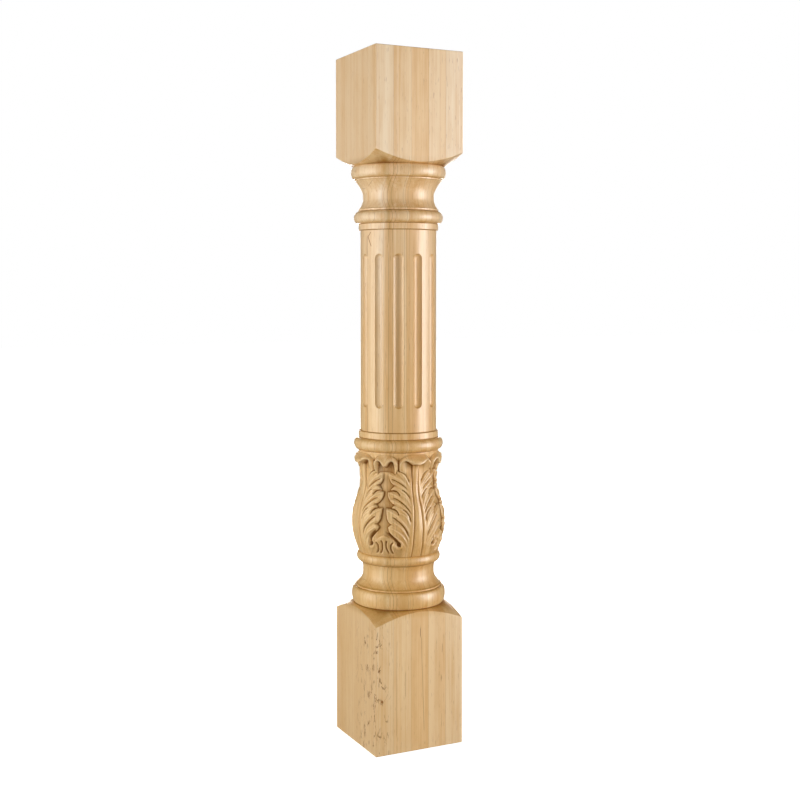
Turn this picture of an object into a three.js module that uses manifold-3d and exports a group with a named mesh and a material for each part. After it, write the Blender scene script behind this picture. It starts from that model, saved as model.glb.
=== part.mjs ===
import * as THREE from 'three';
import { mergeVertices } from 'three/addons/utils/BufferGeometryUtils.js';
import Module from 'manifold-3d';

// A square-ended wooden post: turned beads and coves, a round fluted shaft and
// a swelling belt of carved acanthus leaves, all cut into one blank.
// Millimetres, +Z up, origin at the middle of the square foot.
// The sides of the square ends face -X, +X, -Y and +Y.

// ---- blank ---------------------------------------------------------------
const HEIGHT = 914.4;              // 36 in
const SIDE = 127;                  // 5 in square
const HALF = SIDE / 2;
const CLEAR_R = 96;                // beyond the corners of the square

// ---- shoulders where the square ends turn round ----------------------------
const SHOULDER_SLOPE = 0.54;       // rise per unit of radius
const LOWER_SHOULDER_Z = 181.9;    // at the middle of a side
const UPPER_SHOULDER_Z = 768.0;
const SHOULDER_IN_R = 59.8;        // where the shoulder meets the bead

// ---- turned members, from the foot upwards ---------------------------------
const FOOT_BEAD = { z0: 184.0, z1: 206.8, r0: 59.4, r1: 57.8, swell: 62.8 };
const LOW_FILLET = { z0: 206.8, z1: 208.4, r: 57.2 };
const LOW_COVE = { z0: 208.4, zMin: 227.0, z1: 239.8, r0: 56.6, rMin: 47.6, r1: 50.4, open0: 2.2, open1: 2.6 };
const LEAF_FOOT_BEAD = { z0: 240.3, z1: 252.9, r0: 51.2, r1: 52.4, swell: 56.0 };
const LEAF_HEAD_BEAD = { z0: 389.2, z1: 406.0, r0: 53.2, r1: 53.2, swell: 59.7 };
const SHAFT_FOOT_FILLET = { z0: 406.2, z1: 414.6, r: 53.2 };
const SHAFT_R = 50.8;              // 4 in across
const SHAFT_HEAD_FILLET = { z0: 681.4, z1: 689.6, r: 53.2 };
const NECK_BEAD = { z0: 689.8, z1: 706.6, r0: 53.2, r1: 53.2, swell: 59.5 };
const NECK_FILLET = { z0: 706.8, z1: 709.6, r: 53.4 };
const HIGH_COVE = { z0: 709.8, zMin: 725.0, z1: 746.8, r0: 52.6, rMin: 47.4, r1: 57.4, open0: 1.7, open1: 1.7 };
const HIGH_FILLET = { z0: 746.9, z1: 749.0, r: 58.2 };
const HEAD_BEAD = { z0: 749.2, z1: 766.4, r0: 58.8, r1: 59.4, swell: 63.3 };

const TURNED_SIDES = 32;
const BEAD_STEPS = 5;
const COVE_STEPS = 5;

// ---- flutes ----------------------------------------------------------------
const FLUTE_COUNT = 12;
const FLUTE_Z0 = 446.7;
const FLUTE_Z1 = 649.6;            // 8 in long, with round ends
const FLUTE_WIDTH = 13.6;
const FLUTE_DEPTH = 4.0;
const FLUTE_PHASE = THREE.MathUtils.degToRad(4); // turned a little off the sides

// ---- carved leaf belt --------------------------------------------------------
const BELT = { z0: 249.5, foot: 252.9, belly: 293.5, neck: 357, top: 388.8, z1: 392.5 };
const BELT_R = { foot: 53.9, belly: 62.5, neck: 51.2, top: 53.9, tucked: 52.6 };
const BELT_SIDES = 80;
const CORE_R = 42;
const LEAVES = 4;                  // broad leaves, one on each side
const HEADS = 8;                   // curled heads: broad and corner leaves in turn
const HEAD = { low: 367.5, lip: 376.0, high: 386.0, r: 62.4, cornerR: 61.0, edgeR: 57.6, rings: 6 };
const BLADE = { low: 264, high: 363.5, edge: 0.84, scallop: 0.16 };
const LOBE = { count: 8, sweep: 25, rise: 3.0, lap: 2.4 };   // pairs of swept lobes on each blade
const GROUND_DEPTH = 4.8;          // valley floor below the blades
const RIB = { half: 5, groove: 9, rise: 0.8, cut: 1.2 };  // degrees, millimetres
const EYE = { z: 270, at: 25, half: 6, depth: 4 };

// ---- helpers -------------------------------------------------------------------
const v2 = (r, z) => new THREE.Vector2(r, z);
const clamp01 = (t) => Math.min(1, Math.max(0, t));
const step = (a, b, x) => {
  const t = clamp01((x - a) / (b - a));
  return t * t * (3 - 2 * t);
};

const wasm = await Module();
wasm.setup();

// A closed geometry as a solid: only positions, shared corners merged.
function solid(geometry) {
  const g = geometry.index ? geometry.clone() : geometry;
  g.deleteAttribute('normal');
  g.deleteAttribute('uv');
  const m = mergeVertices(g, 1e-4);
  const pos = m.attributes.position.array;
  const tri = [];
  for (let i = 0; i < m.index.count; i += 3) {
    const [a, b, c] = [m.index.getX(i), m.index.getX(i + 1), m.index.getX(i + 2)];
    if (a !== b && b !== c && c !== a) tri.push(a, b, c);
  }
  return new wasm.Manifold(new wasm.Mesh({
    numProp: 3, vertProperties: new Float32Array(pos), triVerts: new Uint32Array(tri),
  }));
}

// ---- turned profile --------------------------------------------------------------
// A half-round bead between two heights.
function bead({ z0, z1, r0, r1, swell }) {
  const pts = [];
  for (let i = 0; i <= BEAD_STEPS; i++) {
    const t = i / BEAD_STEPS;
    const base = r0 + (r1 - r0) * t;
    pts.push(v2(base + (swell - base) * Math.sin(Math.PI * t),
      (z0 + z1) / 2 - (z1 - z0) / 2 * Math.cos(Math.PI * t)));
  }
  return pts;
}

const fillet = ({ z0, z1, r }) => [v2(r, z0), v2(r, z1)];

// A cove that opens out below and above its narrowest height.
function cove({ z0, zMin, z1, r0, rMin, r1, open0, open1 }) {
  const pts = [];
  for (let i = 0; i < COVE_STEPS; i++) {
    const t = 1 - i / COVE_STEPS;
    pts.push(v2(rMin + (r0 - rMin) * t ** open0, zMin - (zMin - z0) * t));
  }
  for (let i = 0; i <= COVE_STEPS; i++) {
    const t = i / COVE_STEPS;
    pts.push(v2(rMin + (r1 - rMin) * t ** open1, zMin + (z1 - zMin) * t));
  }
  return pts;
}

const shoulder = (z, sign, r) => v2(r, z + sign * SHOULDER_SLOPE * (r - HALF));

function turnedProfile() {
  return [
    v2(0, -1), v2(CLEAR_R, -1),
    shoulder(LOWER_SHOULDER_Z, -1, CLEAR_R), shoulder(LOWER_SHOULDER_Z, -1, SHOULDER_IN_R),
    ...bead(FOOT_BEAD), ...fillet(LOW_FILLET), ...cove(LOW_COVE), ...bead(LEAF_FOOT_BEAD),
    v2(CORE_R, LEAF_FOOT_BEAD.z1), v2(CORE_R, LEAF_HEAD_BEAD.z0),
    ...bead(LEAF_HEAD_BEAD), ...fillet(SHAFT_FOOT_FILLET),
    v2(SHAFT_R, SHAFT_FOOT_FILLET.z1 + 0.3), v2(SHAFT_R, SHAFT_HEAD_FILLET.z0 - 0.3),
    ...fillet(SHAFT_HEAD_FILLET), ...bead(NECK_BEAD), ...fillet(NECK_FILLET),
    ...cove(HIGH_COVE), ...fillet(HIGH_FILLET), ...bead(HEAD_BEAD),
    shoulder(UPPER_SHOULDER_Z, 1, SHOULDER_IN_R), shoulder(UPPER_SHOULDER_Z, 1, CLEAR_R),
    v2(CLEAR_R, HEIGHT + 1), v2(0, HEIGHT + 1),
  ];
}

// ---- leaf belt ---------------------------------------------------------------------
// Outer form of the belt: a belly low down, a narrow neck, then the heads.
function bulb(z) {
  if (z <= BELT.foot) return BELT_R.foot + (BELT_R.tucked - BELT_R.foot) * (BELT.foot - z) / (BELT.foot - BELT.z0);
  if (z <= BELT.belly) return BELT_R.foot + (BELT_R.belly - BELT_R.foot) * Math.sin(Math.PI / 2 * (z - BELT.foot) / (BELT.belly - BELT.foot));
  if (z <= BELT.neck) return BELT_R.belly + (BELT_R.neck - BELT_R.belly) * (1 - Math.cos(Math.PI * (z - BELT.belly) / (BELT.neck - BELT.belly))) / 2;
  if (z <= BELT.top) return BELT_R.neck + (BELT_R.top - BELT_R.neck) * step(BELT.neck + 8, BELT.top, z);
  return BELT_R.top + (BELT_R.tucked - BELT_R.top) * (z - BELT.top) / (BELT.z1 - BELT.top);
}

// Angle in degrees to the nearest of n equally spaced axes, the first at the front.
const toAxis = (angle, n) => {
  const pitch = 360 / n;
  const d = THREE.MathUtils.radToDeg(angle);
  return Math.abs(d - pitch * Math.round(d / pitch));
};

// How far a ring of the belt dips from the corner axis to the rib of a leaf.
function dip(z) {
  const up = step(BELT.foot, BELT.belly, z);
  const down = 1 - step(BELT.neck - 40, HEAD.low, z);
  return LOBE.sweep * up * down;
}

// Heights of the rings on the corner axis: the foot, two rings to each lobe
// (one in the groove below it and one close above, on its crest), then the heads.
function beltRings() {
  const rings = [{ z: BELT.z0 }, { z: BELT.foot }, { z: (BELT.foot + BLADE.low) / 2 }];
  for (let i = 0; i < LOBE.count; i++) {
    const z = BLADE.low + (BLADE.high - BLADE.low) * i / (LOBE.count - 1);
    rings.push({ z, crest: 0 }, { z: z + LOBE.lap, crest: 1 });
  }
  for (let i = 0; i < HEAD.rings; i++) {
    rings.push({ z: HEAD.low + (HEAD.high - HEAD.low) * i / (HEAD.rings - 1) });
  }
  rings.push({ z: BELT.top }, { z: BELT.z1 });
  return rings;
}

// Radius of the carved surface. Each broad leaf has a rib on the middle of a
// side and swept lobes out to the valley on the corner axis.
function carvedRadius(angle, z, crest) {
  const outer = bulb(z);
  const a = toAxis(angle, LEAVES);
  const s = a / 45;
  let r = outer;
  if (crest !== undefined) {
    const edge = BLADE.edge + BLADE.scallop * (crest - 0.5);
    const high = step(BLADE.low - 8, BLADE.low + 12, z);
    const blade = 1 - step(edge - 0.04, edge + 0.06, s);
    r -= GROUND_DEPTH * high * (1 - blade);
    r -= LOBE.rise * high * blade * (1 - crest) * step(0.14, 0.4, s);
  }
  if (z > BELT.foot && z < HEAD.low) {
    if (a < RIB.half) r += RIB.rise * step(BELT.foot, BLADE.low, z) * (1 - step(BELT.belly - 20, BELT.belly, z)) * step(0, 1, 1 - a / RIB.half);
    r -= RIB.cut * Math.max(0, 1 - Math.abs(a - RIB.groove) / RIB.half);
    r -= EYE.depth * Math.max(0, 1 - Math.hypot((a - EYE.at) / EYE.half, (z - EYE.z) / EYE.half));
  }
  // Curled heads, broad and corner in turn, with a lip that hangs over a hollow.
  if (z > HEAD.low && z < BELT.top) {
    const h = toAxis(angle, HEADS) / (180 / HEADS);
    const tip = (a < 22.5 ? HEAD.r : HEAD.cornerR) + (HEAD.edgeR - HEAD.r) * h ** 3;
    const lip = HEAD.lip + 5 * h * h;
    const over = step(lip - 6, lip, z) * (1 - step(lip + 2, BELT.top + 2, z));
    r += (tip - outer) * over;
  }
  return Math.min(r, HALF - 0.6);
}

function leafBelt() {
  const rings = beltRings();
  const profile = [v2(0, BELT.z0), ...rings.map(({ z }) => v2(bulb(z), z)), v2(0, BELT.z1)];
  const g = new THREE.LatheGeometry(profile, BELT_SIDES).rotateX(Math.PI / 2);
  const p = g.attributes.position;
  for (let i = 0; i <= BELT_SIDES; i++) {
    const angle = 2 * Math.PI * i / BELT_SIDES;
    rings.forEach((ring, j) => {
      const s = toAxis(angle, LEAVES) / 45;
      const z = ring.z - dip(ring.z) * (1 - s);
      const r = carvedRadius(angle, z, ring.crest);
      p.setXYZ(i * profile.length + j + 1, r * Math.sin(angle), -r * Math.cos(angle), z);
    });
  }
  return g;
}

// ---- flutes ---------------------------------------------------------------------------
function flute(index) {
  const ball = (FLUTE_WIDTH ** 2 / 4 + FLUTE_DEPTH ** 2) / (2 * FLUTE_DEPTH);
  const axis = SHAFT_R - FLUTE_DEPTH + ball;
  const reach = Math.sqrt(ball ** 2 - (axis - SHAFT_R) ** 2);
  const run = FLUTE_Z1 - FLUTE_Z0 - 2 * reach;
  const turn = FLUTE_PHASE + index * 2 * Math.PI / FLUTE_COUNT;
  return new THREE.CapsuleGeometry(ball, run, 2, 10, 1)
    .rotateX(Math.PI / 2)
    .translate(0, -axis, (FLUTE_Z0 + FLUTE_Z1) / 2)
    .rotateZ(turn);
}

// ---- the post ---------------------------------------------------------------------------
function post() {
  const blank = solid(new THREE.BoxGeometry(SIDE, SIDE, HEIGHT).translate(0, 0, HEIGHT / 2));
  const turned = solid(new THREE.LatheGeometry(turnedProfile(), TURNED_SIDES).rotateX(Math.PI / 2));
  let body = blank.intersect(turned).add(solid(leafBelt()));
  for (let i = 0; i < FLUTE_COUNT; i++) body = body.subtract(solid(flute(i)));
  const mesh = body.getMesh();
  const g = new THREE.BufferGeometry();
  g.setAttribute('position', new THREE.BufferAttribute(new Float32Array(mesh.vertProperties), 3));
  g.setIndex(new THREE.BufferAttribute(new Uint32Array(mesh.triVerts), 1));
  g.computeVertexNormals();
  return g;
}

const wood = new THREE.MeshStandardMaterial({ color: 0xd9b988, roughness: 0.55, metalness: 0 });
const postMesh = new THREE.Mesh(post(), wood);
postMesh.name = 'post';

const turnedPost = new THREE.Group();
turnedPost.name = 'turned_post';
turnedPost.add(postMesh);

export default turnedPost;
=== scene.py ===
import math

import bpy
import numpy as np
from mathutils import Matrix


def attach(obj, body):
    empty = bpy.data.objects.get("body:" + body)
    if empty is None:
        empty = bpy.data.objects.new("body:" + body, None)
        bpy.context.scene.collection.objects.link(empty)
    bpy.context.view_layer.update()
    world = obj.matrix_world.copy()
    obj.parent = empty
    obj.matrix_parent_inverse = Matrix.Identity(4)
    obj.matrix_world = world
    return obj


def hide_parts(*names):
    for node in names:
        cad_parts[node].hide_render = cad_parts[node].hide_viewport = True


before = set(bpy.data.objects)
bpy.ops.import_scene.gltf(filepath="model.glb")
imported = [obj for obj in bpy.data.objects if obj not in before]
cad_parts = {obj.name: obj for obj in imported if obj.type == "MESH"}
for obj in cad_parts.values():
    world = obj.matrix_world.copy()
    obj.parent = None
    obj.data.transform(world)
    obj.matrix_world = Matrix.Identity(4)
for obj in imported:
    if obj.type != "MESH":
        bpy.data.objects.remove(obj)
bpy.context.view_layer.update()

# A square-ended wooden post with turned beads and coves, a fluted shaft and a belt of carved
# acanthus leaves. The skin is built ring by ring from the foot to the head, in millimetres,
# and scaled to metres at the end.
MM = 0.001

# ---------------- relief of the leaf belt (half of one leaf: rib to corner axis) ----------------
DA, DZ = 0.25, 0.25
A_ = np.arange(0.0, 45.0 + 1e-6, DA)
Z_ = np.arange(250.0, 392.0 + 1e-6, DZ)
AA, ZZ = np.meshgrid(A_, Z_)

ENV_Z = [250.0, 252.5, 256, 261, 266, 272, 281, 289, 294, 299, 304, 309, 314, 318, 323, 327, 334, 341, 348, 357, 366, 392]
ENV_R = [53.3, 53.9, 55.3, 57.0, 58.7, 60.1, 61.6, 62.5, 62.6, 62.3, 61.7, 61.0, 60.0, 58.9, 57.0, 55.5, 53.5, 52.2, 51.5, 51.2, 51.2, 51.2]


def spline(xs, ys):
    """Monotone-ish cubic (Catmull-Rom on uneven knots) as a vector function."""
    xs, ys = np.asarray(xs, float), np.asarray(ys, float)
    m = np.gradient(ys, xs)

    def f(x):
        x = np.clip(x, xs[0], xs[-1])
        i = np.clip(np.searchsorted(xs, x, side='right') - 1, 0, len(xs) - 2)
        h = xs[i + 1] - xs[i]
        t = (x - xs[i]) / h
        return ((1 + 2 * t) * (1 - t) ** 2 * ys[i] + t * (1 - t) ** 2 * h * m[i]
                + t * t * (3 - 2 * t) * ys[i + 1] + t * t * (t - 1) * h * m[i + 1])
    return f


def sm(a, b, x):
    t = np.clip((x - a) / (b - a), 0, 1)
    return t * t * (3 - 2 * t)


env = spline(ENV_Z, ENV_R)


def curve(pts, n=120):
    p = np.asarray(pts, float)
    d = np.r_[0, np.cumsum(np.hypot(*np.diff(p, axis=0).T))]
    fx, fz = spline(d, p[:, 0]), spline(d, p[:, 1])
    s = np.linspace(0, d[-1], n)
    return np.c_[fx(s), fz(s)], s / d[-1]


def along(pts, n=120):
    """Distance to a curve, its parameter and the side, on the whole grid."""
    c, t = curve(pts, n)
    best = np.full(AA.shape, 1e9)
    bt = np.zeros(AA.shape)
    side = np.zeros(AA.shape)
    tang = np.gradient(c, axis=0)
    for k in range(n):
        dx, dz = AA - c[k, 0], ZZ - c[k, 1]
        d2 = dx * dx + dz * dz
        m = d2 < best
        best[m] = d2[m]
        bt[m] = t[k]
        s = tang[k, 0] * dz - tang[k, 1] * dx
        side[m] = np.sign(s)[m]
    return np.sqrt(best), bt, side


def strip(pts, w, h, crown=1.2, wall=4.0, tilt=0.0, ripple=0.0, waves=1.5):
    """A carved finger: spine from tip to root, half widths and crest heights along it."""
    d, t, side = along(pts)
    ww = np.interp(t, np.linspace(0, 1, len(w)), w)
    hh = np.interp(t, np.linspace(0, 1, len(h)), h)
    q = d / ww
    s = q * side
    body = hh - crown * np.minimum(q, 1) ** 2 + tilt * np.clip(s, -1, 1)
    if ripple:
        body = body + ripple * np.cos(2 * np.pi * waves * s) * sm(0.0, 0.12, t) * sm(1.0, 0.7, t) * (q < 1)
    out = np.maximum(d - ww, 0) * wall
    return body - out


def groove(pts, depth, half, ends=(0.12, 0.25)):
    d, t, _ = along(pts)
    taper = sm(0, max(ends[0], 1e-3), t) * sm(0, max(ends[1], 1e-3), 1 - t)
    dep = np.maximum(0, 1 - (d / half) ** 2)
    return depth * taper * dep ** 0.8


def smax(a, b, k=0.25):
    h = np.clip(0.5 + 0.5 * (a - b) / k, 0, 1)
    return b * (1 - h) + a * h + k * h * (1 - h)


def blur(x, sig):
    n = int(np.ceil(sig * 3))
    k = np.exp(-0.5 * (np.arange(-n, n + 1) / sig) ** 2)
    k /= k.sum()
    # mirrored at the rib and at the corner axis, clamped at the ends of the belt
    p = np.pad(x, ((0, 0), (n, n)), mode='reflect')
    y = sum(k[i] * p[:, i:i + x.shape[1]] for i in range(2 * n + 1))
    p = np.pad(y, ((n, n), (0, 0)), mode='edge')
    return sum(k[i] * p[i:i + x.shape[0], :] for i in range(2 * n + 1))


FINGERS = [
    # tip ... root (degrees from the rib, height), half widths, crest heights below the outer form
    dict(p=[(27.0, 363.6), (21.5, 360.6), (16.0, 355.6), (11.8, 349.0), (9.0, 341.0)], w=[1.6, 3.0, 3.2, 2.8, 2.0], h=[1.2, 1.1, 0.4, -0.6, -1.4]),
    dict(p=[(40.8, 360.6), (34.5, 358.2), (27.5, 354.6), (20.5, 350.2), (14.2, 344.6), (9.5, 337.0)], w=[2.2, 3.6, 3.7, 3.2, 2.6, 1.8], h=[0.2, 1.1, 0.7, 0.0, -0.8, -1.4]),
    dict(p=[(39.4, 350.6), (34.0, 349.2), (27.0, 346.6), (20.0, 342.6), (13.6, 337.2), (9.0, 330.0)], w=[2.0, 3.2, 3.1, 2.7, 2.3, 1.6], h=[-0.9, 0.1, 0.1, -0.3, -0.8, -1.4]),
    dict(p=[(37.2, 339.8), (32.0, 341.6), (26.5, 341.2), (20.5, 338.2), (14.5, 333.4), (9.5, 326.0)], w=[1.3, 2.2, 2.6, 2.2, 1.8, 1.4], h=[-1.2, -0.4, -0.1, -0.4, -0.9, -1.4]),
    dict(p=[(23.6, 335.4), (19.2, 333.4), (14.8, 329.4), (11.0, 323.6), (8.4, 316.0)], w=[1.3, 2.2, 2.3, 2.0, 1.5], h=[-0.3, 0.1, -0.2, -0.7, -1.3]),
    dict(p=[(41.2, 336.2), (35.0, 335.2), (28.2, 332.2), (21.6, 327.8), (15.2, 321.8), (10.4, 314.6), (7.8, 306.0)], w=[2.0, 3.4, 3.5, 3.0, 2.6, 2.1, 1.5], h=[-0.9, 0.2, 0.3, 0.0, -0.5, -0.9, -1.4]),
    dict(p=[(39.4, 327.4), (33.6, 326.6), (27.2, 323.8), (20.8, 319.0), (14.8, 312.8), (10.6, 305.4), (8.6, 297.0)], w=[1.9, 3.1, 3.1, 2.8, 2.4, 2.0, 1.5], h=[-0.9, 0.1, 0.2, -0.1, -0.5, -0.9, -1.4]),
    dict(p=[(34.6, 317.4), (29.6, 318.4), (24.4, 316.9), (19.2, 313.2), (14.4, 307.6), (11.0, 300.0)], w=[1.3, 2.2, 2.5, 2.2, 1.9, 1.4], h=[-1.2, -0.3, 0.0, -0.3, -0.8, -1.3]),
    dict(p=[(25.2, 311.2), (20.6, 309.8), (16.4, 305.8), (13.0, 299.6), (10.8, 291.0)], w=[1.3, 2.3, 2.6, 2.3, 1.7], h=[-0.3, 0.2, 0.0, -0.5, -1.2]),
    dict(p=[(41.6, 315.4), (35.6, 313.0), (29.4, 308.6), (23.4, 302.6), (17.8, 295.4), (13.6, 287.2), (11.2, 278.0)], w=[2.0, 3.5, 3.6, 3.2, 2.8, 2.3, 1.6], h=[-0.9, 0.2, 0.3, 0.1, -0.3, -0.8, -1.3]),
    dict(p=[(38.8, 301.2), (33.6, 300.6), (28.2, 297.2), (22.6, 291.8), (17.8, 285.0), (13.8, 276.8), (11.4, 268.0)], w=[1.9, 3.0, 3.0, 2.8, 2.5, 2.2, 1.6], h=[-0.9, 0.1, 0.2, 0.0, -0.4, -0.8, -1.2]),
    dict(p=[(37.8, 291.6), (32.4, 290.6), (26.8, 286.8), (21.4, 281.4), (17.0, 274.6), (13.6, 266.0)], w=[1.7, 2.8, 3.2, 3.2, 3.0, 2.6], h=[-1.0, 0.1, 0.2, 0.0, -0.4, -0.8]),
    dict(p=[(38.6, 286.6), (33.6, 283.6), (28.4, 279.4), (23.8, 275.0), (20.0, 270.0), (17.0, 263.0)], w=[1.3, 2.1, 2.4, 2.6, 2.8, 3.0], h=[-1.2, -0.4, -0.1, -0.1, -0.3, -0.6]),
]
GROOVES = [
    # incised lines between the fingers: points, depth, half width
    dict(p=[(26.4, 364.6), (22.6, 364.2), (18.6, 362.4), (14.4, 359.2), (11.4, 354.4), (9.4, 348.0)], d=1.9, w=1.0, e=(0.05, 0.3)),
    dict(p=[(37.2, 354.2), (29.8, 351.8), (22.4, 347.8), (15.2, 342.8), (11.0, 338.0)], d=1.7, w=0.95, e=(0.12, 0.3)),
    dict(p=[(22.2, 340.0), (18.4, 338.6), (14.4, 335.6), (11.0, 331.6), (8.8, 326.6)], d=1.8, w=0.95, e=(0.15, 0.3)),
    dict(p=[(34.8, 330.6), (28.0, 328.0), (21.2, 323.6), (15.0, 317.8), (10.8, 311.6), (8.4, 306.0)], d=1.7, w=0.95, e=(0.12, 0.3)),
    dict(p=[(21.6, 315.6), (18.0, 314.2), (14.6, 311.0), (11.8, 305.8), (10.4, 298.0)], d=1.9, w=1.0, e=(0.15, 0.25)),
    dict(p=[(34.0, 306.6), (28.6, 302.6), (22.8, 297.2), (17.8, 290.8), (14.2, 283.0), (12.4, 276.0)], d=1.8, w=1.0, e=(0.1, 0.3)),
]
GAPS = [
    # deep cuts from the valley to the eyes between the groups of fingers
    dict(p=[(40.8, 338.2), (35.0, 338.7), (29.4, 337.9), (25.8, 335.4), (23.6, 332.6)], d=3.0, w=1.25, e=(0.02, 0.05)),
    dict(p=[(40.0, 318.0), (33.8, 316.3), (29.0, 314.0), (26.4, 310.8), (25.6, 307.8)], d=3.0, w=1.25, e=(0.02, 0.05)),
]


def rib_half(z):
    return np.interp(z, [250, 256, 270, 293, 310, 327, 340, 355, 372, 392], [7.9, 7.4, 6.7, 5.9, 5.1, 4.5, 4.6, 4.8, 5.0, 5.0])


# Edge of the blade from its top finger down to the eye at its foot. Each list runs from one
# corner (a tip, a notch or an eye) to the next.
EDGE = [
    [(11.0, 353.0), (14.4, 358.6), (18.6, 361.9), (23.0, 363.9), (27.8, 364.8)],
    [(27.8, 364.8), (29.8, 362.0), (31.0, 359.4)],
    [(31.0, 359.4), (34.6, 361.6), (41.0, 362.4)],
    [(41.0, 362.4), (40.6, 358.2), (38.4, 351.6), (34.6, 347.4), (29.0, 345.2)],
    [(29.0, 345.2), (33.6, 343.4), (37.6, 339.4)],
    [(37.6, 339.4), (31.6, 339.7), (27.2, 337.9), (24.2, 333.6)],
    [(24.2, 333.6), (28.6, 336.4), (34.0, 337.7), (41.8, 336.8)],
    [(41.8, 336.8), (41.0, 331.6), (37.6, 325.9), (33.6, 322.8), (29.2, 321.2)],
    [(29.2, 321.2), (32.2, 319.8), (35.0, 316.9)],
    [(35.0, 316.9), (31.2, 316.5), (27.8, 313.9), (25.6, 309.2)],
    [(25.6, 309.2), (29.4, 313.2), (34.6, 315.6), (42.2, 316.6)],
    [(42.2, 316.6), (41.4, 309.6), (40.0, 302.2), (37.4, 298.2), (33.4, 296.2)],
    [(33.4, 296.2), (36.2, 295.0), (38.8, 292.4)],
    [(38.8, 292.4), (38.0, 288.2), (34.2, 282.6), (29.4, 278.0), (24.0, 272.6)],
    [(24.0, 272.6), (22.0, 266.0), (16.0, 255.0), (0.0, 250.0)],
    [(0.0, 250.0), (-6.0, 300.0), (-6.0, 345.0), (11.0, 353.0)],
]


HEADS = [
    # lip height by distance from the axis of the head, then the edge of the hollow under it
    dict(axis=0.0, r=62.2, half=18.0, out=25.0, roll=0.9,
         lip=[(0, 372.6), (3, 373.0), (6, 374.2), (9, 376.0), (12.5, 378.0), (16, 379.0), (20, 379.2), (26, 379.2)],
         edge=[(-9, 372.6), (0, 372.6), (3, 373.0), (6, 374.2), (9, 376.0), (12.5, 378.0), (16.0, 379.2), (18.8, 378.8), (20.6, 377.0), (21.5, 374.0), (21.9, 369.0), (22.0, 362.0)]),
    dict(axis=45.0, r=59.8, half=12.0, out=18.4, roll=0.9,
         lip=[(0, 370.9), (1.5, 371.5), (3.0, 373.2), (4.4, 375.2), (6.2, 377.2), (8.5, 378.4), (11, 378.6), (19, 378.6)],
         edge=[(-9, 370.9), (0, 370.9), (1.5, 371.5), (3.0, 373.2), (4.4, 375.4), (6.2, 377.4), (8.4, 378.5), (10.6, 378.0), (12.3, 376.0), (13.2, 372.6), (13.7, 368.0), (13.9, 362.0)]),
]


FOOT_EDGE = [(38.8, 292.4), (37.2, 289.4), (33.4, 285.8), (29.0, 282.0), (25.6, 277.6), (24.0, 272.6)]


def outline(near):
    pts = []
    for seg in EDGE[:13] + [FOOT_EDGE if near else EDGE[13]] + EDGE[14:]:
        c, _ = curve(seg, 14)
        pts.extend(c[:-1])
    return np.array(pts)


def inside_distance_at(X, Z, poly):
    """Distance to a closed outline, positive inside it."""
    best = np.full(X.shape, 1e9)
    ins = np.zeros(X.shape, bool)
    for (x0, z0), (x1, z1) in zip(poly, np.roll(poly, -1, 0)):
        ex, ez = x1 - x0, z1 - z0
        t = np.clip(((X - x0) * ex + (Z - z0) * ez) / max(ex * ex + ez * ez, 1e-9), 0, 1)
        best = np.minimum(best, (X - x0 - t * ex) ** 2 + (Z - z0 - t * ez) ** 2)
        if z0 != z1:
            ins ^= ((z0 > Z) != (z1 > Z)) & (X < ex * (Z - z0) / ez + x0)
    d = np.sqrt(best)
    return np.where(ins, d, -d)


def inside_distance(poly):
    return inside_distance_at(AA, ZZ, poly)


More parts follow.
